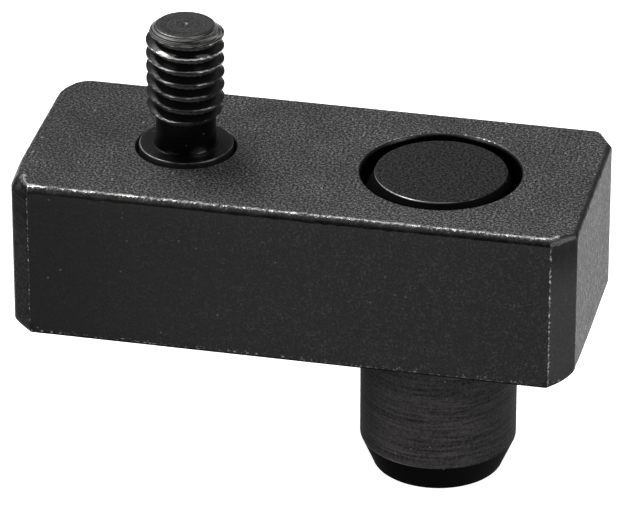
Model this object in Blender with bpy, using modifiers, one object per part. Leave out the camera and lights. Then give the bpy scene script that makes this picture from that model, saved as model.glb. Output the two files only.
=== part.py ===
"""Tool post locating arm: a steel block with a large pressed-in pin below it and a shoulder screw standing up
through it, which the arm swings on.

Metres, +Z up. The origin is on the pin's axis in the plane of the block's underside, and the arm reaches
along -X to the screw. Run with blender --background --python part.py or from Blender's text editor.
"""

import math

import bmesh
import bpy

INCH = 0.0254

# The block and where its two bores are
BLOCK_LENGTH = 2.25 * INCH
BLOCK_WIDTH = 0.0246
BLOCK_HEIGHT = 0.0165
BORE_TO_END = 0.015575
FRONT_CUT_ALONG = 0.0023
FRONT_CUT_ACROSS = 0.0023
BACK_CUT_ALONG = 0.0016
BACK_CUT_ACROSS = 0.0028
TOP_EDGE_BREAK = 0.0006
BOTTOM_EDGE_BREAK = 0.0008
MOUTH_BREAK = 0.0003
SCREW_X = 2 * BORE_TO_END - BLOCK_LENGTH

# The pin: a 5/8 in bar, tapered at both ends, its top end level with the block
PIN_RADIUS = 5 / 16 * INCH
PIN_REACH = 0.0162
PIN_TAPER_LENGTH = 0.0031
PIN_TAPER_DEPTH = 0.0013
PIN_FIT_GAP = 0.00002

# The shoulder screw: 3/8 in shoulder, 5/16-18 thread, head in a counterbore under the block
SHOULDER_RADIUS = 3 / 16 * INCH
SHOULDER_LENGTH = 3 / 8 * INCH
SHOULDER_PROUD = 0.0004
SHOULDER_BREAK = 0.00015
RUNNING_GAP = 0.00006
HEAD_RADIUS = 9 / 32 * INCH
HEAD_HEIGHT = 3 / 16 * INCH
HEAD_BREAK = 0.0004
COUNTERBORE_RADIUS = 19 / 64 * INCH
END_PLAY = 0.0002
SOCKET_WIDTH = 3 / 16 * INCH
SOCKET_DEPTH = 0.0024
THREAD_PITCH = INCH / 18
THREAD_MAJOR_RADIUS = 0.00391
THREAD_MINOR_RADIUS = 0.0031
NECK_RADIUS = 0.00303
NECK_LENGTH = 0.0035
NECK_OVERLAP = 0.001
NECK_FILLET = 0.0004
STUD_LENGTH = 0.0131
STUD_END_CHAMFER = 0.00085

# Levels that the pieces share
SHOULDER_TOP = BLOCK_HEIGHT + SHOULDER_PROUD
HEAD_TOP = SHOULDER_TOP - SHOULDER_LENGTH
HEAD_BOTTOM = HEAD_TOP - HEAD_HEIGHT
COUNTERBORE_FLOOR = HEAD_TOP + END_PLAY
STUD_TOP = SHOULDER_TOP + STUD_LENGTH
THREAD_BOTTOM = SHOULDER_TOP + NECK_LENGTH

# Fineness of the round shapes
ROUND_STEPS = 96
THREAD_STEPS = 48
FILLET_STEPS = 4
MERGE = 0.00001
CUT_MARGIN = 0.001
SMOOTH_ANGLE = math.radians(30)


def clear_scene():
    for obj in list(bpy.data.objects):
        bpy.data.objects.remove(obj, do_unlink=True)


def add_collection(name):
    collection = bpy.data.collections.new(name)
    bpy.context.scene.collection.children.link(collection)
    return collection


def steel(name, colour, roughness):
    material = bpy.data.materials.new(name)
    material.use_nodes = True
    shader = material.node_tree.nodes["Principled BSDF"]
    shader.inputs["Base Color"].default_value = (*colour, 1.0)
    shader.inputs["Roughness"].default_value = roughness
    shader.inputs["Metallic"].default_value = 1.0
    return material


def add_object(name, mesh, collection, location=(0, 0, 0), material=None):
    obj = bpy.data.objects.new(name, mesh)
    obj.location = location
    collection.objects.link(obj)
    if material:
        mesh.materials.append(material)
    return obj


def make_cutter(obj):
    obj.hide_render = True
    obj.display_type = "WIRE"
    return obj


def mesh_from(bm, name):
    mesh = bpy.data.meshes.new(name)
    bm.to_mesh(mesh)
    bm.free()
    return mesh


def boolean(obj, other, operation):
    modifier = obj.modifiers.new(f"{operation.lower()}_{other.name}", "BOOLEAN")
    modifier.operation = operation
    modifier.solver = "EXACT"
    modifier.object = other


def settle(obj):
    """Makes what the modifiers shape the object's own mesh, and shades its round surfaces smooth."""
    graph = bpy.context.evaluated_depsgraph_get()
    mesh = bpy.data.meshes.new_from_object(obj.evaluated_get(graph))
    mesh.shade_smooth()
    mesh.set_sharp_from_angle(angle=SMOOTH_ANGLE)
    obj.modifiers.clear()
    obj.data = mesh


def turned(name, outline, collection, location=(0, 0, 0), material=None):
    """A solid of revolution about Z from (radius, height) points that run down the outside, axis to axis."""
    mesh = bpy.data.meshes.new(name)
    points = [(radius, 0, height) for radius, height in outline]
    mesh.from_pydata(points, [(i, i + 1) for i in range(len(points) - 1)], [])
    obj = add_object(name, mesh, collection, location, material)
    screw = obj.modifiers.new("turn", "SCREW")
    screw.axis = "Z"
    screw.steps = ROUND_STEPS
    screw.render_steps = ROUND_STEPS
    screw.use_merge_vertices = True
    screw.merge_threshold = MERGE
    screw.use_smooth_shade = False
    return obj


def block_mesh():
    """The bar with its four upright corners cut off, and its top and bottom edges broken."""
    bm = bmesh.new()
    bmesh.ops.create_cube(bm, size=1)
    bmesh.ops.scale(bm, vec=(BLOCK_LENGTH, BLOCK_WIDTH, BLOCK_HEIGHT), verts=bm.verts)
    middle = (BORE_TO_END - BLOCK_LENGTH / 2, 0, BLOCK_HEIGHT / 2)
    bmesh.ops.translate(bm, vec=middle, verts=bm.verts)
    cut_corners(bm, -1, FRONT_CUT_ALONG, FRONT_CUT_ACROSS)
    cut_corners(bm, 1, BACK_CUT_ALONG, BACK_CUT_ACROSS)
    for level, width in ((BLOCK_HEIGHT, TOP_EDGE_BREAK), (0, BOTTOM_EDGE_BREAK)):
        rim = [edge for edge in bm.edges if all(abs(vert.co.z - level) < MERGE for vert in edge.verts)]
        bmesh.ops.bevel(bm, geom=rim, offset=width, offset_type="OFFSET", segments=1, affect="EDGES")
    return mesh_from(bm, "arm_block")


def cut_corners(bm, side, along, across):
    """Cuts off the two upright corners on one side. The bar is squeezed first, which makes the cut 45 degrees."""
    uprights = [edge for edge in bm.edges if is_upright(edge, side)]
    bmesh.ops.scale(bm, vec=(1, along / across, 1), verts=bm.verts)
    bmesh.ops.bevel(bm, geom=uprights, offset=along, offset_type="OFFSET", segments=1, affect="EDGES")
    bmesh.ops.scale(bm, vec=(1, across / along, 1), verts=bm.verts)


def is_upright(edge, side):
    start, end = (vert.co for vert in edge.verts)
    return (start - end).xy.length < MERGE and start.y * side > 0


def pin_bore_outline():
    radius = PIN_RADIUS + PIN_FIT_GAP
    wide = radius + MOUTH_BREAK + CUT_MARGIN
    return [
        (0, BLOCK_HEIGHT + CUT_MARGIN),
        (wide, BLOCK_HEIGHT + CUT_MARGIN),
        (radius, BLOCK_HEIGHT - MOUTH_BREAK),
        (radius, MOUTH_BREAK),
        (wide, -CUT_MARGIN),
        (0, -CUT_MARGIN),
    ]


def screw_bore_outline():
    radius = SHOULDER_RADIUS + RUNNING_GAP
    return [
        (0, BLOCK_HEIGHT + CUT_MARGIN),
        (radius + MOUTH_BREAK + CUT_MARGIN, BLOCK_HEIGHT + CUT_MARGIN),
        (radius, BLOCK_HEIGHT - MOUTH_BREAK),
        (radius, COUNTERBORE_FLOOR),
        (COUNTERBORE_RADIUS, COUNTERBORE_FLOOR),
        (COUNTERBORE_RADIUS, MOUTH_BREAK),
        (COUNTERBORE_RADIUS + MOUTH_BREAK + CUT_MARGIN, -CUT_MARGIN),
        (0, -CUT_MARGIN),
    ]


def add_block(collection, cutters):
    material = steel("arm_black_oxide", (0.055, 0.055, 0.056), 0.55)
    block = add_object("arm_block", block_mesh(), collection, material=material)
    pin_bore = turned("pin_bore_cutter", pin_bore_outline(), cutters)
    screw_bore = turned("screw_bore_cutter", screw_bore_outline(), cutters, (SCREW_X, 0, 0))
    for cutter in (pin_bore, screw_bore):
        boolean(block, make_cutter(cutter), "DIFFERENCE")
    settle(block)


def add_pin(collection):
    end_radius = PIN_RADIUS - PIN_TAPER_DEPTH
    outline = [
        (0, BLOCK_HEIGHT),
        (end_radius, BLOCK_HEIGHT),
        (PIN_RADIUS, BLOCK_HEIGHT - PIN_TAPER_LENGTH),
        (PIN_RADIUS, PIN_TAPER_LENGTH - PIN_REACH),
        (end_radius, -PIN_REACH),
        (0, -PIN_REACH),
    ]
    material = steel("pin_black_oxide", (0.030, 0.029, 0.029), 0.42)
    settle(turned("locating_pin", outline, collection, material=material))


def screw_outline():
    """The screw without its thread: the neck's upper end is buried in the threaded stud."""
    fillet = [
        (
            NECK_RADIUS + NECK_FILLET * (1 - math.cos(angle)),
            SHOULDER_TOP + NECK_FILLET * (1 - math.sin(angle)),
        )
        for angle in (math.pi / 2 * i / FILLET_STEPS for i in range(FILLET_STEPS + 1))
    ]
    return [
        (0, THREAD_BOTTOM + NECK_OVERLAP),
        (NECK_RADIUS, THREAD_BOTTOM + NECK_OVERLAP),
        *fillet,
        (SHOULDER_RADIUS - SHOULDER_BREAK, SHOULDER_TOP),
        (SHOULDER_RADIUS, SHOULDER_TOP - SHOULDER_BREAK),
        (SHOULDER_RADIUS, HEAD_TOP),
        (HEAD_RADIUS - HEAD_BREAK, HEAD_TOP),
        (HEAD_RADIUS, HEAD_TOP - HEAD_BREAK),
        (HEAD_RADIUS, HEAD_BOTTOM + HEAD_BREAK),
        (HEAD_RADIUS - HEAD_BREAK, HEAD_BOTTOM),
        (0, HEAD_BOTTOM),
    ]


def thread_room_outline():
    """What the thread may fill: chamfered at the stud's end, and running out into the neck."""
    wide = THREAD_MAJOR_RADIUS + THREAD_PITCH / 8
    inside = NECK_RADIUS / 2
    end_radius = THREAD_MAJOR_RADIUS - STUD_END_CHAMFER
    return [
        (0, STUD_TOP),
        (end_radius, STUD_TOP),
        (wide, STUD_TOP - (wide - end_radius)),
        (wide, THREAD_BOTTOM + (wide - NECK_RADIUS) / 2),
        (inside, THREAD_BOTTOM - (NECK_RADIUS - inside) / 2),
        (0, THREAD_BOTTOM - (NECK_RADIUS - inside) / 2),
    ]


def threaded_stud(collection):
    """A left-hand 60 degree thread, one pitch of it wound up a helix past both ends of the stud."""
    crest = THREAD_PITCH / 8
    flank = (THREAD_MAJOR_RADIUS - THREAD_MINOR_RADIUS) * math.tan(math.radians(30))
    low = THREAD_BOTTOM - 2 * THREAD_PITCH
    turns = math.ceil((STUD_TOP - low) / THREAD_PITCH) + 1
    rise = ((0, THREAD_MAJOR_RADIUS), (crest, THREAD_MAJOR_RADIUS), (crest + flank, THREAD_MINOR_RADIUS))
    rise += ((THREAD_PITCH - flank, THREAD_MINOR_RADIUS), (THREAD_PITCH, THREAD_MAJOR_RADIUS))
    bm = bmesh.new()
    points = [bm.verts.new((radius, 0, low + height)) for height, radius in rise]
    edges = [bm.edges.new(pair) for pair in zip(points, points[1:])]
    bmesh.ops.spin(
        bm,
        geom=[*points, *edges],
        axis=(0, 0, 1),
        cent=(0, 0, 0),
        dvec=(0, 0, THREAD_PITCH / THREAD_STEPS),
        angle=-2 * math.pi * turns,
        steps=turns * THREAD_STEPS,
    )
    bmesh.ops.remove_doubles(bm, verts=bm.verts, dist=MERGE)
    middle = low + THREAD_PITCH * (turns + 1) / 2
    for below in (True, False):
        close_end(bm, middle, below)
    bmesh.ops.recalc_face_normals(bm, faces=bm.faces)
    return add_object("threaded_stud", mesh_from(bm, "threaded_stud"), collection, (SCREW_X, 0, 0))


def close_end(bm, middle, below):
    """Draws the open edge at one end of the wound thread to a point on the axis."""
    open_edges = [
        edge for edge in bm.edges if edge.is_boundary and (edge.verts[0].co.z < middle) == below
    ]
    made = bmesh.ops.extrude_edge_only(bm, edges=open_edges)["geom"]
    drawn = [item for item in made if isinstance(item, bmesh.types.BMVert)]
    heights = [vert.co.z for vert in drawn]
    tip = min(heights) - THREAD_PITCH if below else max(heights) + THREAD_PITCH
    bmesh.ops.pointmerge(bm, verts=drawn, merge_co=(0, 0, tip))


def hex_socket(collection):
    """The wrench socket, open at the head's lower end."""
    bm = bmesh.new()
    corner_radius = SOCKET_WIDTH / math.sqrt(3)
    depth = SOCKET_DEPTH + CUT_MARGIN
    bmesh.ops.create_cone(
        bm, cap_ends=True, segments=6, radius1=corner_radius, radius2=corner_radius, depth=depth
    )
    middle = HEAD_BOTTOM + SOCKET_DEPTH - depth / 2
    return add_object("hex_socket_cutter", mesh_from(bm, "hex_socket_cutter"), collection, (SCREW_X, 0, middle))


def add_screw(collection, cutters):
    place = (SCREW_X, 0, 0)
    material = steel("screw_black_oxide", (0.022, 0.022, 0.023), 0.35)
    screw = turned("shoulder_screw", screw_outline(), collection, place, material)
    stud = make_cutter(threaded_stud(cutters))
    room = make_cutter(turned("thread_room", thread_room_outline(), cutters, place))
    boolean(stud, room, "INTERSECT")
    boolean(screw, stud, "UNION")
    boolean(screw, make_cutter(hex_socket(cutters)), "DIFFERENCE")
    settle(screw)


def main():
    clear_scene()
    parts = add_collection("tool_post_locating_arm")
    cutters = add_collection("cutters")
    add_block(parts, cutters)
    add_pin(parts)
    add_screw(parts, cutters)


main()
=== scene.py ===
import math
from functools import partial, reduce

import bmesh
import bpy
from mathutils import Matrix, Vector, noise


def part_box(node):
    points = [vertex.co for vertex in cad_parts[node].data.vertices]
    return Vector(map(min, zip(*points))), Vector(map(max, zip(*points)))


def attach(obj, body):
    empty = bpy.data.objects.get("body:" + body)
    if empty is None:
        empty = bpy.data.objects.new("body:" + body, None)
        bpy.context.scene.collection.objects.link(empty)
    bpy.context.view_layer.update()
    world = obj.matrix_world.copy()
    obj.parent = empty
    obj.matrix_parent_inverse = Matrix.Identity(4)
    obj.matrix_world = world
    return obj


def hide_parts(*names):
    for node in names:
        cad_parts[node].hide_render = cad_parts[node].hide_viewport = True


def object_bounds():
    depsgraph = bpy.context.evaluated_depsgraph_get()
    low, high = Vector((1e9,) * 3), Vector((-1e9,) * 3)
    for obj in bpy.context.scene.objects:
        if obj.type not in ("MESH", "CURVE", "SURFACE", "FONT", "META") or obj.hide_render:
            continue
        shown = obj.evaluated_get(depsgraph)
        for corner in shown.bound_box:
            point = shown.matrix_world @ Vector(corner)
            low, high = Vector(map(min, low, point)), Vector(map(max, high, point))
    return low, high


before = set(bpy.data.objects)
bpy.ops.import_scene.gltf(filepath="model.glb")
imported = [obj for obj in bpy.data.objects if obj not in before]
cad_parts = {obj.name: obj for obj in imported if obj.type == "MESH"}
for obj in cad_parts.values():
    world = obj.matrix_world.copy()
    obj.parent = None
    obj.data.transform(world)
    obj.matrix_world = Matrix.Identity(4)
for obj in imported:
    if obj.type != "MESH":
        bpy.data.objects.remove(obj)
cad_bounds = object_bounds()

MM = 0.001
INCH = 0.0254

# Where the CAD puts things
BLOCK_LOW, BLOCK_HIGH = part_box("arm_block")
PIN_LOW, PIN_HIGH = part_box("locating_pin")
SCREW_LOW, SCREW_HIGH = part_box("shoulder_screw")
PIN_CENTRE = (PIN_LOW + PIN_HIGH) / 2
SCREW_CENTRE = (SCREW_LOW + SCREW_HIGH) / 2
BLOCK_TOP = BLOCK_HIGH.z

# The block's edges: the corner cuts as the CAD has them, along X and across Y, and finer breaks
FRONT_CUT = (2.3 * MM, 2.3 * MM)
BACK_CUT = (1.6 * MM, 2.8 * MM)
BREAK_STEPS = 8
BREAK_ROUNDNESS = 0.50
BREAK_BLEND = 0.6 * MM
CORNER_STEPS = 6
CORNER_SPAN = 0.02
SIDE_ROWS = 14
OUTLINE_PITCH = 0.45 * MM
EDGE_WOBBLE = 0.035 * MM
WOBBLE_LENGTH = 1.3 * MM

# Each side of the block, counter-clockwise from the front: how far in and how far down its top break
# reaches, how far in and up its bottom break reaches, and the radius of the upright corner it starts from
SIDES = (
    (0.64 * MM, 0.64 * MM, 0.38 * MM, 0.30 * MM),  # front
    (0.55 * MM, 0.66 * MM, 0.45 * MM, 0.25 * MM),  # front right
    (0.50 * MM, 0.46 * MM, 0.95 * MM, 0.25 * MM),  # right
    (0.50 * MM, 0.50 * MM, 0.80 * MM, 0.45 * MM),  # back right
    (0.46 * MM, 0.46 * MM, 0.80 * MM, 0.45 * MM),  # back
    (0.40 * MM, 0.50 * MM, 0.70 * MM, 2.20 * MM),  # back left
    (0.36 * MM, 0.50 * MM, 0.50 * MM, 4.00 * MM),  # left
    (0.42 * MM, 0.70 * MM, 0.32 * MM, 1.40 * MM),  # front left
)
TOP_INWARD, TOP_DOWN, BOTTOM_INWARD, CORNER_RADII = zip(*SIDES)

# How much more of the top edge is worn away round the front left corner, by how far round it is
WORN_CORNER = ((6.80, 0.0), (6.93, 0.38 * MM), (7.0, 0.66 * MM), (7.5, 0.18 * MM), (8.0, 0.0))

# The same for the bottom edge, round the right end's front corner
WORN_FOOT = ((1.0, 0.0), (1.5, 0.15 * MM), (2.0, 0.60 * MM), (2.12, 0.25 * MM), (2.5, 0.0))

# The pin and its bore
PIN_RADIUS = 5 / 16 * INCH
PIN_TAPER_LENGTH = 3.1 * MM
PIN_TAPER_DEPTH = 1.3 * MM
PIN_END_RADIUS = PIN_RADIUS - PIN_TAPER_DEPTH
PIN_RIM_ROUND = 0.12 * MM
PIN_BORE_RADIUS = PIN_RADIUS + 0.02 * MM
PIN_MOUTH_RADIUS = 8.24 * MM
MOUTH_DEPTH = 0.30 * MM

# The deeper tool marks round the pin: how far below the block each one is, and how deep
TOOL_MARKS = (
    (5.90 * MM, 0.030 * MM),
    (6.50 * MM, 0.012 * MM),
    (9.00 * MM, 0.022 * MM),
    (9.45 * MM, 0.030 * MM),
    (9.80 * MM, 0.015 * MM),
)
TOOL_MARK_HALF_WIDTH = 0.14 * MM

# The shoulder screw and its bore
SHOULDER_RADIUS = 3 / 16 * INCH
SHOULDER_TOP = BLOCK_TOP + 0.4 * MM
HEAD_TOP = SHOULDER_TOP - 3 / 8 * INCH
HEAD_BOTTOM = SCREW_LOW.z
HEAD_RADIUS = 9 / 32 * INCH
COUNTERBORE_RADIUS = 19 / 64 * INCH
COUNTERBORE_FLOOR = HEAD_TOP + 0.2 * MM
SCREW_BORE_RADIUS = SHOULDER_RADIUS + 0.06 * MM
SCREW_MOUTH_RADIUS = 5.15 * MM
HEAD_ROUND = 0.4 * MM
KNURL_DEPTH = 0.11 * MM
KNURL_RIDGES = 40
SOCKET_WIDTH = 3 / 16 * INCH
SOCKET_DEPTH = 2.4 * MM
STUD_TOP = SCREW_HIGH.z
PITCH = INCH / 18
CREST_RADIUS = 3.91 * MM
ROOT_RADIUS = 3.08 * MM
NECK_RADIUS = 3.03 * MM
NECK_FILLET = 0.35 * MM
FILLET_STEPS = 6
THREAD_BOTTOM = SHOULDER_TOP + 3.5 * MM
STUD_END_CHAMFER = 1.04 * MM
STUD_END_SLOPE = 1.25
RUN_OUT_SLOPE = 1.6
THREAD_ROUNDING = 0.045 * MM
CREST_HEIGHT = BLOCK_TOP + 4.43 * MM
THREAD_ROW = 0.05 * MM
FLANGE_RIM = 0.14 * MM

# The thread's wear: how far down from the crests it goes, how far down the bruise goes and over how much
# of that it fades, how far it goes beside the chamfer's rim, how worn the chamfer is, and the bruised turn
CREST_RUB = 0.10 * MM
BRUISE_DEPTH = 0.42 * MM
BRUISE_FADE = 0.14 * MM
CHAMFER_RUB = 0.09 * MM
CHAMFER_WEAR = 0.48
BRUISED_TURN = 6

# How finely the turned shapes are divided round their axes, and the angle that is drawn as a sharp edge
TURNED_STEPS = 192
SCREW_STEPS = 160
SHARP_ANGLE = math.radians(32)

# The finishes' colours
BARE_STEEL = (0.62, 0.61, 0.59)
OXIDE_LIGHT = (0.36, 0.36, 0.36)
OXIDE_DARK = (0.003, 0.003, 0.003)
TURNED_DARK = (0.0015, 0.0015, 0.0015)

# The camera
CAMERA_AZIMUTH = math.radians(12.44)
CAMERA_ELEVATION = math.radians(28.57)
CAMERA_DISTANCE = 0.5758
CAMERA_LENS = 327.8
LOOK_OFFSET = Vector((0.00014, 0, -0.0012))

# The side of the stud that faces the camera, in degrees round its axis
STUD_FRONT = math.degrees(CAMERA_AZIMUTH) - 90

# The floor
FLOOR_SIZE = 6
FLOOR_GAP = 0.05 * MM
FLOOR_GLOW = 0.90

# How bright the surroundings are, by the height of the direction, from -1 straight down to 1 straight up
ROOM_BY_HEIGHT = (
    (-0.96, 0.00),
    (-0.82, 0.02),
    (-0.62, 0.35),
    (-0.48, 1.25),
    (-0.12, 1.25),
    (-0.04, 0.60),
    (0.03, 0.05),
    (0.25, 0.08),
    (0.48, 0.34),
    (0.70, 0.22),
    (1.00, 0.12),
)

# Where the surroundings are dimmer: a direction's azimuth from the camera's and its elevation, in degrees,
# how close to it the dimming starts and is full, as cosines, and the share of the light that is left there
DIM_PLACES = (
    (0, 55, 0.60, 0.93, 0.25),  # above the camera
    (0, -25, 0.60, 0.95, 0.60),  # below the camera
    (-106, -22, 0.82, 0.97, 0.06),  # a gap on the left
)

# The softboxes: name, azimuth from the camera's and elevation in degrees, distance, width and height, watts
SOFTBOXES = (
    ("left_softbox", -62, 38, 0.6, (0.14, 0.36), 0.75),
    ("right_softbox", 62, 32, 0.6, (0.14, 0.36), 0.85),
    ("key_softbox", -140, 58, 0.7, (0.30, 0.30), 3.5),
)


def away(azimuth, elevation, distance):
    """A point that far from the origin. Azimuth 0 is on the -Y side, and 90 degrees is on the +X side."""
    flat = math.cos(elevation) * distance
    return Vector((math.sin(azimuth) * flat, -math.cos(azimuth) * flat, math.sin(elevation) * distance))


# Meshes: every piece is built from closed rings of points. Each point carries how worn the finish is there:
# 1 is rubbed bare and 0 is plain black oxide. Below 0 is painted shade, a black that mirrors next to nothing:
# -1 in the bores and on the screw's neck and fillet, and less in the counterbore, at the screw bore's mouth
# and on the shoulder's face.


def new_shape():
    shape = bmesh.new()
    shape.verts.layers.float.new("wear_and_shade")
    return shape


def add_ring(shape, points, wear_and_shade):
    layer = shape.verts.layers.float["wear_and_shade"]
    ring = []
    for index, point in enumerate(points):
        vert = shape.verts.new(point)
        vert[layer] = wear_and_shade[index] if isinstance(wear_and_shade, list) else wear_and_shade
        ring.append(vert)
    return ring


def join_rings(shape, first, second):
    for index in range(len(first)):
        after = (index + 1) % len(first)
        shape.faces.new((first[index], first[after], second[after], second[index]))


def join_all(shape, rings):
    for first, second in zip(rings, rings[1:]):
        join_rings(shape, first, second)


def close_ring(shape, ring):
    """A flat cap drawn to a point in the middle of the ring."""
    middle = sum((vert.co for vert in ring), Vector()) / len(ring)
    centre = add_ring(shape, [middle], 0.0)[0]
    for index in range(len(ring)):
        shape.faces.new((ring[index], ring[(index + 1) % len(ring)], centre))


def fill_between(shape, rings):
    """A flat face with holes, bounded by the rings."""
    edges = []
    for ring in rings:
        for index in range(len(ring)):
            edges.append(shape.edges.get((ring[index], ring[(index + 1) % len(ring)])))
    bmesh.ops.triangle_fill(shape, use_beauty=True, use_dissolve=False, edges=edges)


def around(value, steps):
    """A number, or a function of the angle, as a list of values round a circle."""
    angles = [2 * math.pi * step / steps for step in range(steps)]
    return [value(angle) if callable(value) else value for angle in angles]


def circle(radius, height, centre, steps):
    """Points round an axis. The radius may be a number or a function of the angle."""
    points = []
    for step, reach in enumerate(around(radius, steps)):
        angle = 2 * math.pi * step / steps
        points.append((centre.x + reach * math.cos(angle), centre.y + reach * math.sin(angle), height))
    return points


def turned_rings(shape, levels, centre, steps):
    """Rings from (radius, height, wear) levels. Radius and wear may be functions of the angle."""
    return [
        add_ring(shape, circle(radius, height, centre, steps), around(wear_and_shade, steps))
        for radius, height, wear_and_shade in levels
    ]


def spun(shape, levels, centre, steps):
    """A turned solid from levels down its outside, closed at both ends."""
    rings = turned_rings(shape, levels, centre, steps)
    join_all(shape, rings)
    close_ring(shape, rings[0])
    close_ring(shape, rings[-1])


def share_of(wear_and_shade, share):
    """A wear that is everywhere that share of another one."""
    return lambda place: share * wear_and_shade(place)


def finish_piece(name, shape, material, body, nodes):
    """Makes the object, shades it, hangs it on the body it rides on, and hides the CAD nodes it stands for.
    """
    bmesh.ops.recalc_face_normals(shape, faces=shape.faces)
    mesh = bpy.data.meshes.new(name)
    shape.to_mesh(mesh)
    shape.free()
    mesh.materials.append(material)
    mesh.shade_smooth()
    mesh.set_sharp_from_angle(angle=SHARP_ANGLE)
    piece = bpy.data.objects.new(name, mesh)
    bpy.context.scene.collection.objects.link(piece)
    weighted = piece.modifiers.new("flat faces stay flat", "WEIGHTED_NORMAL")
    weighted.keep_sharp = True
    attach(piece, body)
    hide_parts(*nodes)
    return piece


# The block


def corner_points():
    """The block's eight upright corners, counter-clockwise, each one at the start of its side."""
    low, high = BLOCK_LOW, BLOCK_HIGH
    (front_along, front_across), (back_along, back_across) = FRONT_CUT, BACK_CUT
    return [
        Vector((low.x + front_along, low.y)),
        Vector((high.x - front_along, low.y)),
        Vector((high.x, low.y + front_across)),
        Vector((high.x, high.y - back_across)),
        Vector((high.x - back_along, high.y)),
        Vector((low.x + back_along, high.y)),
        Vector((low.x, high.y - back_across)),
        Vector((low.x, low.y + front_across)),
    ]


def inset_corners(insets):
    """The eight corners after each side moves in by its own inset."""
    corners = corner_points()
    lines = []
    for index, start in enumerate(corners):
        along = (corners[(index + 1) % 8] - start).normalized()
        inward = Vector((-along.y, along.x))
        lines.append((start + inward * insets[index], along))
    moved = []
    for index in range(8):
        (start, along), (other, across) = lines[index - 1], lines[index]
        turn = along.x * across.y - along.y * across.x
        gap = other - start
        moved.append(start + along * ((gap.x * across.y - gap.y * across.x) / turn))
    return moved


def rounded_corner(index, corner, before, half):
    """Points round an upright corner. Before is the direction of the side before it, and half is half of the
    angle that the outline turns there."""
    radius = CORNER_RADII[index]
    centre = corner + Vector((-before.y, before.x)) * radius - before * radius * math.tan(half)
    start = math.atan2(-before.x, before.y)
    found = []
    for step in range(CORNER_STEPS + 1):
        angle = start + 2 * half * step / CORNER_STEPS
        outward = Vector((math.cos(angle), math.sin(angle)))
        place = index + CORNER_SPAN * (step / CORNER_STEPS - 0.5)
        found.append((centre + outward * radius, outward, place))
    return found


def outline(insets):
    """Points round the block at one height, each with its outward direction and how far round it is: whole
    numbers are the upright corners, and the fraction is the share of the side that starts there."""
    corners = inset_corners(insets)
    full = corner_points()
    sides = [(corners[(index + 1) % 8] - corners[index]).normalized() for index in range(8)]
    halves = [sides[index - 1].angle(sides[index]) / 2 for index in range(8)]
    found = []
    for index, corner in enumerate(corners):
        after, side = (index + 1) % 8, sides[index]
        found += rounded_corner(index, corner, sides[index - 1], halves[index])
        first = corner + side * CORNER_RADII[index] * math.tan(halves[index])
        last = corners[after] - side * CORNER_RADII[after] * math.tan(halves[after])
        outward = Vector((side.y, -side.x))
        count = max(2, round((full[after] - full[index]).length / OUTLINE_PITCH))
        for step in range(1, count):
            found.append((first.lerp(last, step / count), outward, index + step / count))
    return found


def scaled(widths, share, extra=0.0):
    return [width * share + extra for width in widths]


def side_value(values, place):
    """The side's own value, turning smoothly into its neighbour's near the upright corner."""
    corners = corner_points()
    side = math.floor(place) % 8
    share = place - math.floor(place)
    length = (corners[(side + 1) % 8] - corners[side]).length
    other = (side - 1) % 8 if share < 0.5 else (side + 1) % 8
    from_corner = min(share, 1 - share) * length
    keep = 0.5 + 0.5 * min(1.0, from_corner / BREAK_BLEND)
    return values[other] + (values[side] - values[other]) * keep


def worn_away(table, place):
    """The extra loss at a worn corner."""
    for (start, low), (end, high) in zip(table, table[1:]):
        if start <= place <= end:
            return low + (high - low) * (place - start) / (end - start)
    return 0.0


def near(place, corner, before, after=None):
    """1 at an upright corner, falling to 0 that far before and after it, counted in sides."""
    gap = (place - corner + 4) % 8 - 4
    reach = before if gap < 0 else after or before
    return max(0.0, 1 - abs(gap) / reach)


def rim_wear(place):
    """How worn the top edge is: most at the front corners, less between them, little elsewhere."""
    if 0 <= place <= 1:
        along_front = 0.64 + 0.25 * max(0.0, 1 - place / 0.04)
    else:
        along_front = 0.0
    front_left = 0.75 if place > 7 else 0.0
    front_right = 0.85 * near(place, 1.25, 0.40)
    corners = 0.95 * near(place, 0, 0.05) + 0.9 * near(place, 1, 0.04)
    left = 0.36 * near(place, 6.5, 0.6)
    back = 0.22 * near(place, 4.5, 0.6)
    return max(along_front, front_left, front_right, corners, left, back)


def upright_wear(place):
    """How worn the upright edges are: the front's two, and a little the next one to the right."""
    front_right = 0.52 * near(place, 1, 0.011, 0.12)
    front_left = 0.45 * near(place, 8, 0.12, 0.011)
    return front_right + front_left + 0.15 * near(place, 2, 0.12, 0.02)


def wobble(point, height):
    """A slow unevenness of a hand-finished edge, from -1 to 1."""
    return noise.noise(Vector((point.x / WOBBLE_LENGTH, point.y / WOBBLE_LENGTH, height / WOBBLE_LENGTH)))


def edge_row(shape, insets, height, wear_and_shade, uneven=0.0, lost=(WORN_CORNER, 0.0)):
    """One ring round the block. Its height and its wear are functions of how far round a point is, and lost
    is a table of extra loss and the ring's share of it."""
    points, amounts = [], []
    for point, outward, place in outline(insets):
        level = height(place)
        shift = -abs(wobble(point, level)) * uneven
        moved = point + outward * (shift - lost[1] * worn_away(lost[0], place))
        points.append((moved.x, moved.y, level + min(0.0, shift)))
        amounts.append(min(1.0, wear_and_shade(place)))
    return add_ring(shape, points, amounts)


def broken_edge(step):
    """How far in and up a rounded chamfer is, from 0 to 1, part of the way along it."""
    share = step / BREAK_STEPS
    angle = math.pi / 2 * share
    arc = (1 - math.cos(angle), math.sin(angle))
    return [BREAK_ROUNDNESS * bend + (1 - BREAK_ROUNDNESS) * share for bend in arc]


def underside(place):
    return BLOCK_LOW.z


def top_face(place):
    return BLOCK_TOP


def foot_level(place):
    """Where the bottom's broken edge meets the upright sides."""
    return BLOCK_LOW.z + side_value(BOTTOM_INWARD, place) + worn_away(WORN_FOOT, place)


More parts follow.
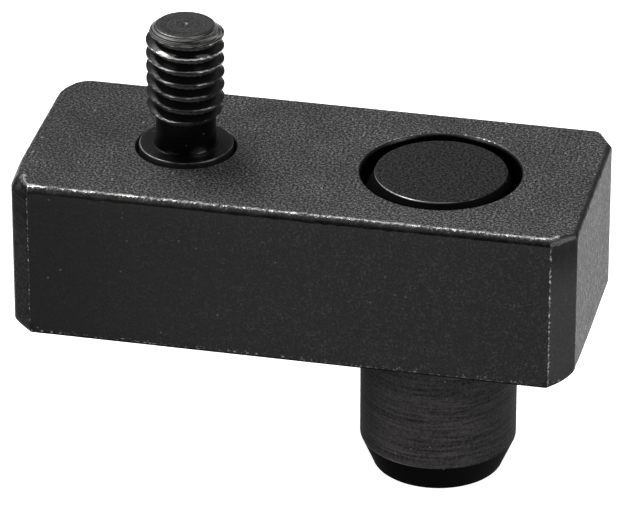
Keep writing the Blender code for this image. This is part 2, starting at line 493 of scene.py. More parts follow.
def brow_level(place):
    """Where the top's broken edge meets the upright sides."""
    return BLOCK_TOP - side_value(TOP_DOWN, place) - worn_away(WORN_CORNER, place)


def between_levels(share, low, high):
    """A height that part of the way from one function of the place to another."""
    return lambda place: low(place) + (high(place) - low(place)) * share


def foot_rows(shape):
    """Rings a little way in under the block, and up the bottom's broken edge."""
    insets = scaled(BOTTOM_INWARD, 1, 0.12 * MM)
    rows = [edge_row(shape, insets, underside, lambda place: 0.0, lost=(WORN_FOOT, 1.0))]
    for step in range(BREAK_STEPS, 0, -1):
        inward, up = broken_edge(step)
        height = between_levels(up, foot_level, underside)
        insets = scaled(BOTTOM_INWARD, inward)
        rows.append(edge_row(shape, insets, height, lambda place: 0.12, lost=(WORN_FOOT, inward)))
    return rows


def side_rows(shape):
    """Rings up the upright sides."""
    rows = []
    for step in range(SIDE_ROWS + 1):
        height = between_levels(step / SIDE_ROWS, foot_level, brow_level)
        foot = 0.41 if step == 0 else 0.0
        rows.append(edge_row(shape, [0.0] * 8, height, lambda place: max(foot, upright_wear(place))))
    return rows


def brow_rows(shape):
    """Rings up the top's broken edge, and a little way in over the top face."""
    rows = []
    for step in range(1, BREAK_STEPS + 1):
        inward, up = broken_edge(step)
        wear_and_shade = share_of(rim_wear, (step / BREAK_STEPS) ** 1.6)
        uneven = EDGE_WOBBLE if step < BREAK_STEPS else 0.0
        height = between_levels(up, brow_level, top_face)
        insets = scaled(TOP_INWARD, inward)
        rows.append(edge_row(shape, insets, height, wear_and_shade, uneven, (WORN_CORNER, inward)))
    for extra, strength in ((0.10 * MM, 0.95), (0.22 * MM, 0.75), (0.45 * MM, 0.42), (0.90 * MM, 0.1)):
        insets = scaled(TOP_INWARD, 1, extra)
        wear_and_shade = share_of(rim_wear, strength)
        rows.append(edge_row(shape, insets, top_face, wear_and_shade, lost=(WORN_CORNER, 1.0)))
    return rows


def peak(angle, centre, width):
    """1 at an angle round an axis, falling to 0 that many degrees to either side."""
    gap = abs((math.degrees(angle) - centre + 180) % 360 - 180)
    return max(0.0, 1 - gap / width)


def mouth_wear(angle):
    """The pin bore's mouth is rubbed in two stretches at the back."""
    return 0.20 + 0.50 * peak(angle, 136, 34) + 0.40 * peak(angle, 66, 44)


def pin_bore_levels():
    """Down through the pin's bore, from its rubbed mouth."""
    top, low = BLOCK_TOP, BLOCK_LOW.z
    return [
        (PIN_MOUTH_RADIUS + 0.12 * MM, top, share_of(mouth_wear, 0.45)),
        (PIN_MOUTH_RADIUS, top, mouth_wear),
        (PIN_MOUTH_RADIUS - 0.10 * MM, top - 0.06 * MM, lambda angle: mouth_wear(angle) - 0.3),
        # Below the mouth the bore is painted shade: black that mirrors next to nothing.
        (PIN_BORE_RADIUS + 0.03 * MM, top - MOUTH_DEPTH, -1.0),
        (PIN_BORE_RADIUS, top - MOUTH_DEPTH - 0.05 * MM, -1.0),
        (PIN_BORE_RADIUS, low + MOUTH_DEPTH, -1.0),
        (PIN_MOUTH_RADIUS, low, 0.3),
        (PIN_MOUTH_RADIUS + 0.10 * MM, low, 0.0),
    ]


def screw_bore_levels():
    """Down through the screw's bore and the counterbore for its head."""
    top, low = BLOCK_TOP, BLOCK_LOW.z
    return [
        (SCREW_MOUTH_RADIUS + 0.08 * MM, top, 0.0),
        # The mouth, the bore and the counterbore are painted shade, black that mirrors next to nothing.
        (SCREW_MOUTH_RADIUS, top - 0.02 * MM, -0.3),
        (SCREW_BORE_RADIUS + 0.02 * MM, top - MOUTH_DEPTH, -1.0),
        (SCREW_BORE_RADIUS, top - MOUTH_DEPTH - 0.05 * MM, -1.0),
        (SCREW_BORE_RADIUS, COUNTERBORE_FLOOR, -1.0),
        (COUNTERBORE_RADIUS, COUNTERBORE_FLOOR, -0.5),
        (COUNTERBORE_RADIUS, low + MOUTH_DEPTH, -0.5),
        (COUNTERBORE_RADIUS + MOUTH_DEPTH, low, 0.4),
        (COUNTERBORE_RADIUS + MOUTH_DEPTH + 0.10 * MM, low, 0.0),
    ]


def build_block(material):
    shape = new_shape()
    rows = foot_rows(shape) + side_rows(shape) + brow_rows(shape)
    join_all(shape, rows)
    pin_bore = turned_rings(shape, pin_bore_levels(), PIN_CENTRE, TURNED_STEPS)
    screw_bore = turned_rings(shape, screw_bore_levels(), SCREW_CENTRE, TURNED_STEPS)
    join_all(shape, pin_bore)
    join_all(shape, screw_bore)
    fill_between(shape, [rows[-1], pin_bore[0], screw_bore[0]])
    fill_between(shape, [rows[0], pin_bore[-1], screw_bore[-1]])
    return finish_piece("arm_block_body", shape, material, "arm", ["arm_block"])


# The pin


def disc_wear(angle):
    """The rim of the pin's upper end is rubbed on the side that faces the front left."""
    return 0.32 + 0.40 * peak(angle, 236, 60) + 0.26 * peak(angle, 285, 50)


def upper_end_levels():
    """The flat upper end, its rubbed rim, and the taper out to the pin's full size."""
    top, end, soft = PIN_HIGH.z, PIN_END_RADIUS, PIN_RIM_ROUND
    face = [(end * share, top, 0.0) for share in (0.12, 0.3, 0.5, 0.7, 0.85, 0.94)]
    return face + [
        (end - soft, top, 0.0),
        (end - soft * 0.3, top - soft * 0.2, disc_wear),
        (end + soft * 0.1, top - soft * 0.8, share_of(disc_wear, 0.5)),
        (end + soft * 0.5, top - soft * 2, 0.0),
        (PIN_RADIUS, top - PIN_TAPER_LENGTH, 0.0),
    ]


def shank_levels():
    """The turned bar, out through the block's underside and past its tool marks."""
    levels = [(PIN_RADIUS, BLOCK_LOW.z + 1.2 * MM, 0.0), (PIN_RADIUS, BLOCK_LOW.z - 0.4 * MM, 0.0)]
    for below, depth in TOOL_MARKS:
        height = BLOCK_LOW.z - below
        levels += [
            (PIN_RADIUS, height + TOOL_MARK_HALF_WIDTH, 0.0),
            (PIN_RADIUS - depth, height, 0.0),
            (PIN_RADIUS, height - TOOL_MARK_HALF_WIDTH, 0.0),
        ]
    return levels


def lower_end_levels():
    """The same taper as above, from a rubbed edge in to the flat lower end."""
    low, end, soft = PIN_LOW.z, PIN_END_RADIUS, PIN_RIM_ROUND
    start = low + PIN_TAPER_LENGTH
    return [
        (PIN_RADIUS, start + 0.15 * MM, 0.30),
        (PIN_RADIUS - 0.01 * MM, start, 0.42),
        (PIN_RADIUS - 0.05 * MM, start - 0.08 * MM, 0.10),
        (end + soft * 0.5, low + soft * 2, 0.0),
        (end + soft * 0.1, low + soft * 0.8, 0.2),
        (end - soft * 0.3, low + soft * 0.2, 0.2),
        (end - soft, low, 0.0),
        (end * 0.5, low, 0.0),
    ]


def build_pin(material):
    shape = new_shape()
    spun(shape, upper_end_levels() + shank_levels() + lower_end_levels(), PIN_CENTRE, TURNED_STEPS)
    return finish_piece("locating_pin_body", shape, material, "arm", ["locating_pin"])


# The shoulder screw


def thread_turn(height, angle):
    """How many turns up the left-hand thread a point is. Whole numbers are on the crest."""
    lead = -PITCH * (angle + math.pi / 2 - CAMERA_AZIMUTH) / (2 * math.pi)
    return (height - CREST_HEIGHT - lead) / PITCH


def thread_radius(height, angle):
    """The thread's surface: rounded crests and roots with 60 degree flanks."""
    turn = thread_turn(height, angle)
    off_crest = abs(turn - round(turn)) * PITCH
    flank = (off_crest - PITCH / 16) / math.tan(math.radians(30))
    drop = above_zero(flank, THREAD_ROUNDING)
    depth = CREST_RADIUS - ROOT_RADIUS
    return CREST_RADIUS - depth + above_zero(depth - drop, THREAD_ROUNDING * 1.6)


def above_zero(value, soft):
    """The value where it is above zero and zero elsewhere, with a rounded corner between them."""
    return (value + math.sqrt(value * value + 4 * soft * soft)) / 2 - soft * math.exp(-abs(value) / soft)


def end_chamfer(height):
    """The radius of the chamfer on the stud's end."""
    return CREST_RADIUS - STUD_END_CHAMFER + (STUD_TOP - height) * STUD_END_SLOPE


def stud_radius(height, angle):
    """The thread, cut down by the end chamfer above and running out into the neck below."""
    chamfer = end_chamfer(height)
    run_out = NECK_RADIUS + (height - THREAD_BOTTOM) * RUN_OUT_SLOPE
    return max(min(thread_radius(height, angle), chamfer, run_out), min(NECK_RADIUS, chamfer))


def crest_wear(height, angle):
    """Worn on the crests, most near the second turn down, on the end's chamfer, and where it is bruised. The
    crests also get more bare steel on either side of the front: painted highlight where the softboxes shine.
    """
    raised = stud_radius(height, angle) - CREST_RADIUS
    crest = max(0.0, (raised + CREST_RUB) / CREST_RUB)
    turns_down = (STUD_TOP - height) / PITCH
    rubbed = 0.40 + 0.40 * math.exp(-((turns_down - 1.5) ** 2)) + 0.20 * near_run_out(height)
    # Painted highlight: more bare steel on the crests either side of the front, where the softboxes'
    # highlights fall.
    rubbed += 0.25 * peak(angle, STUD_FRONT + 32, 22) + 0.20 * peak(angle, STUD_FRONT - 32, 22)
    patches = 0.25 * noise.noise(Vector((3 * math.cos(angle), 3 * math.sin(angle), turns_down)))
    chamfer = CHAMFER_WEAR if height > STUD_TOP - 0.75 * MM else 0.0
    edge = 0.9 * chamfer_edge(height, angle)
    return min(1.0, max(crest * (rubbed + patches), bruise_wear(height, angle, raised), chamfer, edge))


def bruise_wear(height, angle, raised):
    """One turn has a bruise on either side of its front, down its flanks too."""
    if round(thread_turn(height, angle)) != BRUISED_TURN:
        return 0.0
    bruised = max(0.0, min(1.0, (raised + BRUISE_DEPTH) / BRUISE_FADE))
    return bruised * max(1.6 * peak(angle, STUD_FRONT - 29, 22), 1.1 * peak(angle, STUD_FRONT + 29, 18))


def chamfer_edge(height, angle):
    """1 on the rim that the end chamfer leaves on the top crest, falling to 0 beside it."""
    thread = thread_radius(height, angle)
    if thread < (CREST_RADIUS + ROOT_RADIUS) / 2:
        return 0.0
    return max(0.0, 1 - abs(end_chamfer(height) - thread) / CHAMFER_RUB)


def near_run_out(height):
    """1 where the thread starts above the neck, falling to 0 a turn higher."""
    return max(0.0, 1 - (height - THREAD_BOTTOM) / PITCH)


def thread_levels():
    """Closely spaced levels down the threaded length."""
    top = STUD_TOP - 0.06 * MM
    count = round((top - THREAD_BOTTOM) / THREAD_ROW)
    heights = [top - (top - THREAD_BOTTOM) * row / count for row in range(count + 1)]
    return [(partial(stud_radius, height), height, partial(crest_wear, height)) for height in heights]


def end_face_levels():
    """The stud's end: a small centre mark and a softened rim."""
    end = CREST_RADIUS - STUD_END_CHAMFER
    return [
        (0.10 * MM, STUD_TOP - 0.16 * MM, 0.0),
        (0.34 * MM, STUD_TOP - 0.02 * MM, 0.3),
        (0.42 * MM, STUD_TOP, 0.2),
        (end * 0.35, STUD_TOP, 0.0),
        (end * 0.6, STUD_TOP, 0.0),
        (end * 0.85, STUD_TOP, 0.0),
        (end - 0.10 * MM, STUD_TOP, 0.2),
        (end - 0.02 * MM, STUD_TOP - 0.015 * MM, 0.42),
    ]


def flange_wear(angle):
    """The shoulder's rim is rubbed lightly, most on the front right."""
    return 0.46 + 0.20 * peak(angle, 305, 35) + 0.10 * peak(angle, 190, 60)


def fillet_shade_and_wear(angle):
    """The fillet is painted shade, black all round, but for one spot at the front right that is left to
    mirror the light, with a little bare steel.
    """
    return -1.0 + 1.3 * peak(angle, 308, 24)


def neck_levels():
    """The plain neck, the fillet at its foot, and the shoulder's upper face and rim."""
    length = THREAD_BOTTOM - SHOULDER_TOP
    # The neck is painted shade: black that mirrors next to nothing.
    levels = [(NECK_RADIUS, SHOULDER_TOP + share * length, -1.0) for share in (0.9, 0.6, 0.3)]
    for step in range(FILLET_STEPS + 1):
        angle = math.pi / 2 * step / FILLET_STEPS
        reach = NECK_RADIUS + NECK_FILLET * (1 - math.cos(angle))
        levels.append((reach, SHOULDER_TOP + NECK_FILLET * (1 - math.sin(angle)), fillet_shade_and_wear))
    rim = FLANGE_RIM
    return levels + [
        # The shoulder's face is painted shade too, a little less than the neck.
        (SHOULDER_RADIUS * 0.82, SHOULDER_TOP, -0.8),
        (SHOULDER_RADIUS - rim * 1.5, SHOULDER_TOP, -0.8),
        (SHOULDER_RADIUS - rim, SHOULDER_TOP - 0.005 * MM, flange_wear),
        (SHOULDER_RADIUS - rim * 0.4, SHOULDER_TOP - rim * 0.35, flange_wear),
        (SHOULDER_RADIUS, SHOULDER_TOP - rim, 0.0),
        (SHOULDER_RADIUS, HEAD_TOP + 0.2 * MM, 0.0),
        (SHOULDER_RADIUS - 0.06 * MM, HEAD_TOP + 0.1 * MM, 0.0),
        (SHOULDER_RADIUS - 0.06 * MM, HEAD_TOP, 0.0),
    ]


def knurl(angle):
    """The head's radius round its knurled side."""
    return HEAD_RADIUS - KNURL_DEPTH * (0.5 + 0.5 * math.cos(KNURL_RIDGES * angle))


def head_levels():
    """The head, with a fine straight knurl round it."""
    soft = HEAD_ROUND
    return [
        (HEAD_RADIUS - soft, HEAD_TOP, 0.1),
        (HEAD_RADIUS - soft * 0.35, HEAD_TOP - soft * 0.3, 0.3),
        (knurl, HEAD_TOP - soft, 0.2),
        (knurl, HEAD_BOTTOM + soft, 0.2),
        (HEAD_RADIUS - soft * 0.35, HEAD_BOTTOM + soft * 0.3, 0.3),
        (HEAD_RADIUS - soft, HEAD_BOTTOM, 0.3),
    ]


def hexagon(width):
    """The radius of a hexagon that wide across its flats, as a function of the angle."""
    return lambda angle: width / 2 / math.cos((angle % (math.pi / 3)) - math.pi / 6)


def socket_levels():
    """From the head's lower face into the wrench socket and down to its drilled point."""
    lead_in = SOCKET_WIDTH / math.sqrt(3) + 0.12 * MM
    return [
        (HEAD_RADIUS * 0.62, HEAD_BOTTOM, 0.1),
        (lead_in, HEAD_BOTTOM, 0.3),
        (hexagon(SOCKET_WIDTH), HEAD_BOTTOM + 0.25 * MM, 0.2),
        (hexagon(SOCKET_WIDTH), HEAD_BOTTOM + SOCKET_DEPTH - 0.5 * MM, 0.0),
        (SOCKET_WIDTH / 2 * 0.97, HEAD_BOTTOM + SOCKET_DEPTH - 0.45 * MM, 0.0),
        (0.2 * MM, HEAD_BOTTOM + SOCKET_DEPTH, 0.0),
    ]


def build_screw(material):
    shape = new_shape()
    stud = end_face_levels() + thread_levels() + neck_levels()
    spun(shape, stud + head_levels() + socket_levels(), SCREW_CENTRE, SCREW_STEPS)
    return finish_piece(
        "shoulder_screw_body", shape, material, "screw", ["shoulder_screw"]
    )


# Materials


class Graph:
    """A small helper that adds shader nodes and links them."""

    def __init__(self, tree):
        self.nodes = tree.nodes
        self.links = tree.links
        self.coordinates = self.nodes.new("ShaderNodeTexCoord").outputs

    def put(self, socket, value):
        if isinstance(value, bpy.types.NodeSocket):
            self.links.new(value, socket)
        else:
            socket.default_value = value

    def math(self, operation, *values):
        node = self.nodes.new("ShaderNodeMath")
        node.operation = operation
        for socket, value in zip(node.inputs, values):
            self.put(socket, value)
        return node.outputs[0]

    def times(self, *values):
        """The values multiplied together."""
        return reduce(partial(self.math, "MULTIPLY"), values)

    def largest(self, *values):
        return reduce(partial(self.math, "MAXIMUM"), values)

    def mixed(self, amount, first, second):
        """One number fading into another."""
        return self.math("MULTIPLY_ADD", self.math("SUBTRACT", second, first), amount, first)

    def between(self, value, low, high, to_low=0.0, to_high=1.0):
        """The value mapped from low..high to to_low..to_high with soft ends."""
        node = self.nodes.new("ShaderNodeMapRange")
        node.interpolation_type = "SMOOTHSTEP"
        self.put(node.inputs["Value"], value)
        for name, given in (("From Min", low), ("From Max", high), ("To Min", to_low), ("To Max", to_high)):
            node.inputs[name].default_value = given
        return node.outputs["Result"]

    def vector(self, operation, first, second=(0.0, 0.0, 0.0)):
        node = self.nodes.new("ShaderNodeVectorMath")
        node.operation = operation
        self.put(node.inputs[0], first)
        self.put(node.inputs[1], second)
        return node.outputs["Value" if operation in ("LENGTH", "DOT_PRODUCT") else "Vector"]

    def joined(self, x, y, z=0.0):
        node = self.nodes.new("ShaderNodeCombineXYZ")
        for socket, value in zip(node.inputs, (x, y, z)):
            self.put(socket, value)
        return node.outputs["Vector"]

    def axis(self, vector, name):
        node = self.nodes.new("ShaderNodeSeparateXYZ")
        self.put(node.inputs["Vector"], vector)
        return node.outputs[name]


class Finish(Graph):
    """A material, with the noises, masks and colours that every finish here is made of."""

    def __init__(self, name):
        self.material = bpy.data.materials.new(name)
        self.material.use_nodes = True
        super().__init__(self.material.node_tree)
        self.place = self.coordinates["Object"]
        self.normal = self.coordinates["Normal"]
        self.level = self.math("ABSOLUTE", self.axis(self.normal, "Z"))
        self.flat = self.between(self.level, 0.86, 0.97)

    def sloping(self, start, full):
        """1 on slopes, and 0 on level and upright faces. It grows to 1 between the two given levels."""
        return self.times(self.between(self.level, start, full), self.between(self.level, 0.97, 0.86))

    def noise(self, size, detail, roughness=0.5, place=None):
        """Noise whose lumps are about that many metres across."""
        node = self.nodes.new("ShaderNodeTexNoise")
        node.inputs["Scale"].default_value = 1 / size
        node.inputs["Detail"].default_value = detail
        node.inputs["Roughness"].default_value = roughness
        self.put(node.inputs["Vector"], place or self.place)
        return node.outputs["Fac"]

    def specks(self, spacing, radius, share):
        """Scattered round dots: 1 inside a dot, 0 outside. Only that share of the cells has one."""
        node = self.nodes.new("ShaderNodeTexVoronoi")
        node.inputs["Scale"].default_value = 1 / spacing
        self.put(node.inputs["Vector"], self.place)
        dot = self.between(node.outputs["Distance"], radius / spacing, radius / spacing * 0.4)
        split = self.nodes.new("ShaderNodeSeparateColor")
        self.put(split.inputs["Color"], node.outputs["Color"])
        return self.times(dot, self.math("LESS_THAN", split.outputs["Red"], share))

    def wear_and_shade(self):
        node = self.nodes.new("ShaderNodeAttribute")
        node.attribute_name = "wear_and_shade"
        return node.outputs["Fac"]

    def worn(self, patchiness, size, place=None):
        """Where the black finish is rubbed off: the painted wear, broken up by noise."""
        patches = self.noise(size, detail=4, roughness=0.65, place=place)
        ragged = self.math("MULTIPLY_ADD", self.math("SUBTRACT", patches, 0.5), patchiness, self.wear_and_shade())
        return self.between(ragged, 0.42, 0.72)

    def shaded_black(self):
        """Painted shade: where the attribute is below zero the black turns metallic, and a black metal
        mirrors next to nothing.
        """
        return self.between(self.wear_and_shade(), -0.1, -0.9, 0.0, 0.85)

    def colour(self, amount, first, second):
        node = self.nodes.new("ShaderNodeMix")
        node.data_type = "RGBA"
        self.put(node.inputs["Factor"], amount)
        for name, value in (("A", first), ("B", second)):
            sockets = [socket for socket in node.inputs if socket.name == name and socket.type == "RGBA"]
            self.put(sockets[0], value if isinstance(value, bpy.types.NodeSocket) else (*value, 1.0))
        return [socket for socket in node.outputs if socket.type == "RGBA"][0]

    def bump(self, height, distance, strength):
        node = self.nodes.new("ShaderNodeBump")
        node.inputs["Strength"].default_value = strength
        node.inputs["Distance"].default_value = distance
        self.put(node.inputs["Height"], height)
        return node.outputs["Normal"]

    def done(self, colour, metal, roughness, normal, specular):
        shader = self.nodes["Principled BSDF"]
        self.put(shader.inputs["Base Color"], colour)
        self.put(shader.inputs["Metallic"], metal)
        self.put(shader.inputs["Roughness"], roughness)
        self.put(shader.inputs["Normal"], normal)
        self.put(shader.inputs["Specular IOR Level"], specular)
        return self.material


class BlockFinish(Finish):
    """Black oxide over a blasted top and ends and smoother long sides, with pale specks and rubbed edges. Its
    masks tell the top, the ends, the chamfers and the cut corners apart: those at the left end are ground."""

    def __init__(self, name):
        super().__init__(name)
        self.x, self.y, self.z = (self.axis(self.place, name) for name in "XYZ")
        self.facing_x = self.axis(self.normal, "X")
        self.endwise = self.math("ABSOLUTE", self.facing_x)
        # Outside the bores: inside them painted shade keeps the oxide dark and without specks.
        self.open_air = self.between(self.wear_and_shade(), -0.6, -0.1)
        self.chamfer = self.sloping(0.25, 0.45)
        self.end = self.between(self.endwise, 0.93, 0.99)
        oblique = self.times(self.between(self.endwise, 0.35, 0.50), self.between(self.endwise, 0.99, 0.93))
        self.cut = self.times(oblique, self.between(self.level, 0.3, 0.1))
        self.ground = self.times(self.cut, self.between(self.facing_x, 0.1, -0.1))
        # Painted light on the top face: darker towards the left end and lighter towards the front.
        along = self.between(self.x, -44 * MM, -10 * MM, 0.74, 1.02)
        self.top = self.times(self.flat, along, self.between(self.y, 0.0, -11 * MM, 1.0, 1.15))
        self.mottle = self.between(self.noise(0.7 * MM, detail=5, roughness=0.75), 0.38, 0.66)

    def grain(self):
        """The blasted surface's grain, drawn out upwards on the ends, and nearly even on the chamfers."""
        fine = self.between(self.noise(0.25 * MM, detail=4, roughness=0.85), 0.48, 0.61)
        streaks = self.vector("MULTIPLY", self.place, (1.0, 1.0, 0.32))
        streaky = self.noise(0.26 * MM, detail=4, roughness=0.85, place=streaks)
        grain = self.mixed(self.end, fine, self.between(streaky, 0.495, 0.575))
        even_end = self.times(self.end, self.between(self.facing_x, 0.5, -0.5, 0.3, 1.0))
        return self.mixed(self.times(self.largest(self.chamfer, even_end), 0.65), grain, 0.5)

    def grinding_marks(self):
        """Slanting scratches on the upper part of the cut corners at the left."""
        across = self.math("ADD", self.x, self.y)
        slant = self.math("MULTIPLY_ADD", across, 0.8, self.z)
        along = self.math("MULTIPLY_ADD", self.z, 0.10, self.times(across, -0.08))
        scratches = self.noise(0.35 * MM, detail=3, roughness=0.6, place=self.joined(slant, along))
        upper = self.between(self.z, 7 * MM, 14 * MM)
        return self.times(self.between(scratches, 0.42, 0.70), upper, self.ground)

    def lightness(self):
        """How light and grainy each face is: most on the top and the right end, least on the long sides. Part
        of it
        is painted light and shade: the top darker towards the left end and lighter towards the front, the
        right end lighter than the left end, the long sides lighter towards the right, the cut corners darker
        towards the top, and the steep part of the chamfers darker.
        """
        mottle = self.between(self.mottle, 0, 1, 0.5, 1.5)
        # Painted light: the long sides grow lighter towards the right.
        sides = self.times(self.between(self.x, -45 * MM, 5 * MM, 0.02, 0.11), mottle)
        # Painted shade: the cut corners grow darker towards the top.
        cuts = self.times(self.cut, self.between(self.z, 15 * MM, 8 * MM, 0.02, 0.16))
        # Painted shade: the steep part of the chamfers is darker.
        chamfers = self.times(self.chamfer, self.between(self.level, 0.50, 0.85, 0.05, 0.22))
        darker_right = self.between(self.facing_x, 0.45, 0.65, 1.0, 0.4)
        # Painted light: the right end is lighter and the left end darker.
        ends = self.times(self.end, self.between(self.facing_x, -0.5, 0.5, 0.5, 1.9))
        return self.largest(self.top, ends, self.times(self.largest(sides, cuts, chamfers), darker_right))

    def brow(self):
        """Painted shade on the steep part of the top's chamfers, but for those on the cut corners: it keeps
        them dark.
        """
        facing = self.largest(self.between(self.endwise, 0.35, 0.15), self.between(self.endwise, 0.55, 0.70))
        steep = self.between(self.level, 0.80, 0.50)
        upper = self.between(self.z, 7 * MM, 10 * MM)
        rightward = self.between(self.x, -42 * MM, -10 * MM, 0.25, 0.70)
        return self.times(self.chamfer, facing, steep, upper, rightward)

    def painted_shade_matt(self):
        """Painted shade: how metallic the black is, so that it mirrors less. It is most in the bores and on
        the ground cut corners at the left, and it also darkens the upper part of the cut corners, the top
        towards its left end and away from the front, the long sides towards the left, and the steep part of
        the chamfers.
        """
        # Painted shade: the top is darker towards its left end and away from the front.
        top = self.between(self.x, -44 * MM, -12 * MM, 0.56, 0.33)
        top = self.times(self.top, top, self.between(self.y, 0.0, -11 * MM, 1.0, 0.7))
        # Painted shade: the long sides are darker towards the left end.
        long_sides = self.between(self.endwise, 0.3, 0.1)
        left = self.times(long_sides, self.between(self.x, -15 * MM, -42 * MM, 0.0, 0.30))
        # Painted shade: the upper part of the cut corners is darker.
        cuts = self.times(self.cut, self.between(self.z, 10 * MM, 15.5 * MM, 0.0, 0.6))
        # Painted shade: the ground cut corners at the left are kept nearly black.
        return self.largest(self.shaded_black(), top, left, cuts, self.times(self.ground, 0.94), self.brow())


def block_finish():
    finish = BlockFinish("arm_black_oxide_finish")
    grain, marks, lightness = finish.grain(), finish.grinding_marks(), finish.lightness()
    cloud = finish.between(finish.noise(4 * MM, detail=3), 0.25, 0.75, 0.75, 1.2)
    shade = finish.math("MULTIPLY_ADD", marks, 0.13, finish.times(grain, cloud, lightness))
    oxide = finish.colour(finish.times(shade, finish.open_air), OXIDE_DARK, OXIDE_LIGHT)
    dots = finish.times(finish.specks(1.8 * MM, 0.16 * MM, 0.9), finish.open_air)
    dots = finish.times(dots, finish.between(lightness, 0, 1, 0.15, 1.0))
    bright = finish.largest(finish.worn(1.5, 0.32 * MM), dots)
    roughness = finish.between(lightness, 0.1, 1, 0.36, 0.50)
    roughness = finish.math("SUBTRACT", roughness, finish.times(bright, 0.10))
    roughness = finish.math("SUBTRACT", roughness, finish.times(finish.chamfer, 0.10))
    height = finish.math("MULTIPLY_ADD", grain, lightness, finish.times(finish.mottle, 0.25))
    height = finish.math("MULTIPLY_ADD", marks, 0.5, height)
    normal = finish.bump(height, 0.036 * MM, 0.8)
    metal = finish.largest(bright, finish.painted_shade_matt())
    return finish.done(finish.colour(bright, oxide, BARE_STEEL), metal, roughness, normal, 0.46)


class TurnedFinish(Finish):
    """Black oxide over a turned surface, with rings that follow the tool round the axis."""

    def __init__(self, name, centre, ring_size, rings_on_ends):
        super().__init__(name)
        from_axis = self.vector("SUBTRACT", self.place, (centre.x, centre.y, 0.0))
        radius = self.vector("LENGTH", self.vector("MULTIPLY", from_axis, (1.0, 1.0, 0.0)))
        height = self.axis(self.place, "Z")
        drift = self.times(self.math("ADD", self.axis(from_axis, "X"), self.axis(from_axis, "Y")), 0.06)
        outward, inward = self.math("ADD", radius, height), self.math("SUBTRACT", radius, height)
        self.tool_path = self.joined(outward, inward, drift)
        self.rings = self.noise(ring_size, detail=4, roughness=0.7, place=self.tool_path)
        self.ring_share = self.between(self.flat, 0, 1, 0.7, rings_on_ends)
        self.grain = self.noise(0.25 * MM, detail=3)

    def tone(self, sideways_tone):
        """How light the oxide is. Painted shade makes it black on the unworn tapers and thread flanks, and
        dark where the attribute is below zero. On what faces along the arm it is only that share of what it
        is elsewhere."""
        rings = self.times(self.between(self.rings, 0.20, 0.78), self.ring_share)
        rest = self.math("SUBTRACT", 1.0, self.ring_share)
        tone = self.math("MULTIPLY_ADD", self.between(self.grain, 0.35, 0.65), rest, rings)
        # Painted shade: the unworn sloping faces, the pin's tapers and the thread's flanks among them, are
        # black.
        taper = self.times(self.sloping(0.15, 0.30), self.between(self.wear_and_shade(), 0.30, 0.15))
        shade_dimming = self.between(self.wear_and_shade(), -1.0, -0.1, 0.3, 1.0)
        sideways = self.math("ABSOLUTE", self.axis(self.normal, "X"))
        sideways = self.between(sideways, 0.40, 0.95, 1.0, sideways_tone)
        return self.times(tone, self.between(taper, 0, 1, 1.0, 0.0), shade_dimming, sideways)

    def bumps(self):
        height = self.math("MULTIPLY_ADD", self.rings, self.ring_share, self.times(self.grain, 0.5))
        return self.bump(height, 0.012 * MM, 0.5)


def turned_finish(finish, sideways_tone, tones, roughness, specular):
    """The tones and the roughness are pairs, for the round side and for the flat ends."""
    tone = finish.tone(sideways_tone)
    oxide = finish.colour(tone, TURNED_DARK, finish.colour(finish.flat, *tones))
    dots = finish.times(finish.specks(1.6 * MM, 0.10 * MM, 0.6), 0.5)
    bright = finish.largest(finish.worn(1.1, 0.22 * MM, finish.tool_path), dots)
    rough = finish.mixed(bright, finish.between(finish.flat, 0, 1, *roughness), 0.30)
    dull = finish.times(finish.flat, finish.between(tone, 0.65, 0.30, 0.0, 0.7))
    metal = finish.largest(bright, finish.shaded_black(), dull)
    return finish.done(finish.colour(bright, oxide, BARE_STEEL), metal, rough, finish.bumps(), specular)


def pin_finish():
    return turned_finish(
        TurnedFinish("pin_black_oxide_finish", PIN_CENTRE, ring_size=0.35 * MM, rings_on_ends=0.1),
        sideways_tone=0.5,
        tones=((0.118, 0.111, 0.112), (0.046, 0.046, 0.046)),
        roughness=(0.70, 0.50),
        specular=0.12,
    )


def screw_finish():
    return turned_finish(
        TurnedFinish("screw_black_oxide_finish", SCREW_CENTRE, ring_size=0.22 * MM, rings_on_ends=0.7),
        sideways_tone=1.0,
        tones=((0.038, 0.038, 0.038), (0.075, 0.075, 0.075)),
        roughness=(0.32, 0.36),
        specular=0.42,
    )


# The stage


def add_floor():
    """White paper that glows a little so that it stays white. What the arm mirrors is left to the world."""
    bpy.ops.mesh.primitive_plane_add(size=FLOOR_SIZE, location=(0, 0, cad_bounds[0].z - FLOOR_GAP))
    floor = bpy.context.active_object
    floor.name = "floor"
    floor.visible_glossy = False
    floor.visible_diffuse = False
    floor.visible_shadow = False
    material = bpy.data.materials.new("floor_paper")
    material.use_nodes = True
    shader = material.node_tree.nodes["Principled BSDF"]
    shader.inputs["Base Color"].default_value = (0.90, 0.90, 0.90, 1)
    shader.inputs["Roughness"].default_value = 0.9
    shader.inputs["Specular IOR Level"].default_value = 0.2
    shader.inputs["Emission Color"].default_value = (1, 1, 1, 1)
    shader.inputs["Emission Strength"].default_value = FLOOR_GLOW
    floor.data.materials.append(material)


def room_brightness(graph, direction):
    """How bright the surroundings are, by the height of the direction. A new ramp has two points already."""
    ramp = graph.nodes.new("ShaderNodeValToRGB")
    points = ramp.color_ramp.elements
    for index, (height, strength) in enumerate(ROOM_BY_HEIGHT):
        point = points[index] if index < 2 else points.new(1.0)
        point.position = (height + 1) / 2
        point.color = (strength, strength, strength, 1)
    upward = graph.axis(direction, "Z")
    graph.put(ramp.inputs["Fac"], graph.math("MULTIPLY_ADD", upward, 0.5, 0.5))
    return ramp.outputs["Color"]


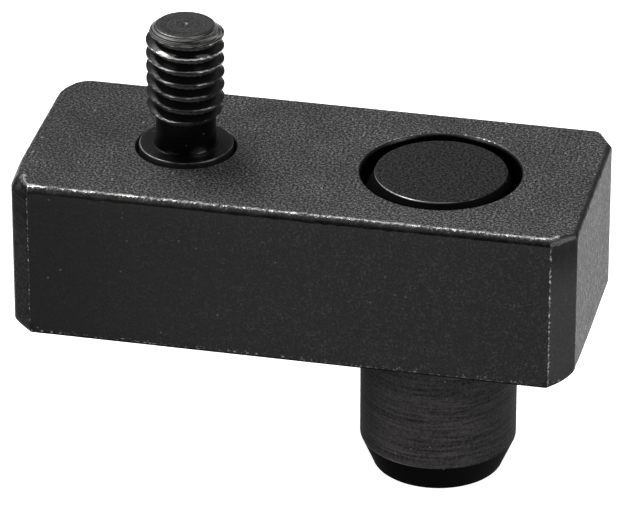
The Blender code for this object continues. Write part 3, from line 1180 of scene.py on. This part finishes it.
def dimming(graph, direction, azimuth, elevation, start, full, left):
    """1, falling to what is left as the direction turns towards one of the dimmer places."""
    towards = away(CAMERA_AZIMUTH + math.radians(azimuth), math.radians(elevation), 1)
    closeness = graph.vector("DOT_PRODUCT", direction, towards)
    return graph.between(closeness, start, full, 1.0, left)


def add_world():
    """A white sweep below the horizon, dark right under the arm and in a gap on the left, and a dimmer room
    above it, darkest on the camera's side."""
    world = bpy.data.worlds.new("studio")
    bpy.context.scene.world = world
    world.use_nodes = True
    graph = Graph(world.node_tree)
    direction = graph.coordinates["Generated"]
    dimmer = [dimming(graph, direction, *place) for place in DIM_PLACES]
    background = graph.nodes["Background"]
    graph.put(background.inputs["Strength"], graph.times(room_brightness(graph, direction), *dimmer))
    graph.put(background.inputs["Color"], (1, 1, 1, 1))


def add_softbox(name, azimuth, elevation, distance, size, power):
    light = bpy.data.lights.new(name, "AREA")
    light.shape = "RECTANGLE"
    light.size, light.size_y = size
    light.energy = power
    lamp = bpy.data.objects.new(name, light)
    lamp.location = away(CAMERA_AZIMUTH + math.radians(azimuth), math.radians(elevation), distance)
    lamp.rotation_euler = lamp.location.to_track_quat("Z", "Y").to_euler()
    bpy.context.scene.collection.objects.link(lamp)


def add_camera():
    centre = (cad_bounds[0] + cad_bounds[1]) / 2 + LOOK_OFFSET
    back = away(CAMERA_AZIMUTH, CAMERA_ELEVATION, 1)
    camera = bpy.data.objects.new("camera", bpy.data.cameras.new("camera"))
    camera.data.lens = CAMERA_LENS
    camera.data.sensor_width = 36
    camera.data.clip_start, camera.data.clip_end = 0.05, 20
    camera.location = centre + back * CAMERA_DISTANCE
    camera.rotation_euler = back.to_track_quat("Z", "Y").to_euler()
    bpy.context.scene.collection.objects.link(camera)
    bpy.context.scene.camera = camera


def main():
    bpy.context.scene.view_settings.view_transform = "Standard"
    add_camera()
    add_world()
    add_floor()
    for softbox in SOFTBOXES:
        add_softbox(*softbox)
    build_block(block_finish())
    build_pin(pin_finish())
    build_screw(screw_finish())


main()
